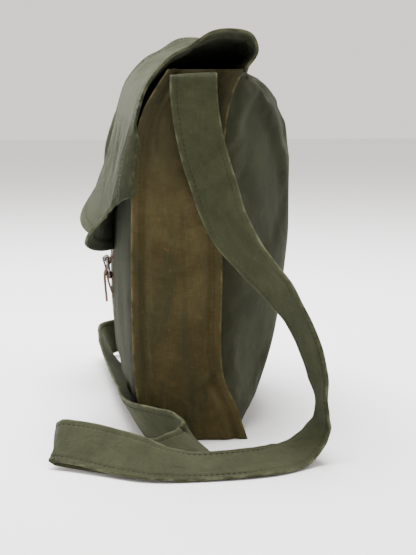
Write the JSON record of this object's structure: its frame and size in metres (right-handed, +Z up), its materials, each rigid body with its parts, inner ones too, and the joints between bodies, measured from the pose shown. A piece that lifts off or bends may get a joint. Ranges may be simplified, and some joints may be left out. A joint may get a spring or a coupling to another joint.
{
  "type": "messenger bag",
  "caption": "Stuffed canvas shoulder bag with a fold-over flap, a leather strap and roller buckle closure, and a flat canvas shoulder strap.",
  "frame": {"origin": "centre of the flat base, on the ground", "axes": "+X towards the right-hand gusset, -Y towards the front with the buckle, +Z up"},
  "size_m": [0.5892, 0.2431, 0.3732],
  "materials": {
    "body_canvas": "dark olive green plain-weave canvas",
    "gusset_canvas": "faded brown-olive canvas with stains",
    "strap_canvas": "olive green canvas, stitched along both edges",
    "leather": "worn reddish brown leather",
    "buckle_steel": "dark oxidised steel"
  },
  "bodies": {
    "root": {"front_panel": "body_canvas", "back_panel": "body_canvas", "right_gusset": "gusset_canvas", "left_gusset": "gusset_canvas", "base_panel": "body_canvas", "closure_chape": "leather", "shoulder_strap": "strap_canvas"},
    "flap": {"flap": "body_canvas", "closure_billet": "leather"},
    "buckle": {"buckle_frame": "buckle_steel"},
    "roller": {"buckle_roller": "buckle_steel"},
    "prong": {"buckle_prong": "buckle_steel"}
  },
  "joints": [
    {"name": "flap_open", "type": "hinge", "parent": "root", "child": "flap", "pos_m": [0, 0.0417, 0.341], "axis": [-1, 0, 0], "range_deg": [0, 95], "deforming": ["closure_billet"]},
    {"name": "buckle_swing", "type": "hinge", "parent": "root", "child": "buckle", "pos_m": [0, -0.0774, 0.129], "axis": [1, 0, 0], "range_deg": [0, 60]},
    {"name": "roller_spin", "type": "hinge", "parent": "buckle", "child": "roller", "pos_m": [0, -0.0804, 0.147], "axis": [1, 0, 0], "continuous": true},
    {"name": "prong_lift", "type": "hinge", "parent": "buckle", "child": "prong", "pos_m": [0, -0.0774, 0.129], "axis": [1, 0, 0], "range_deg": [0, 50]}
  ]
}
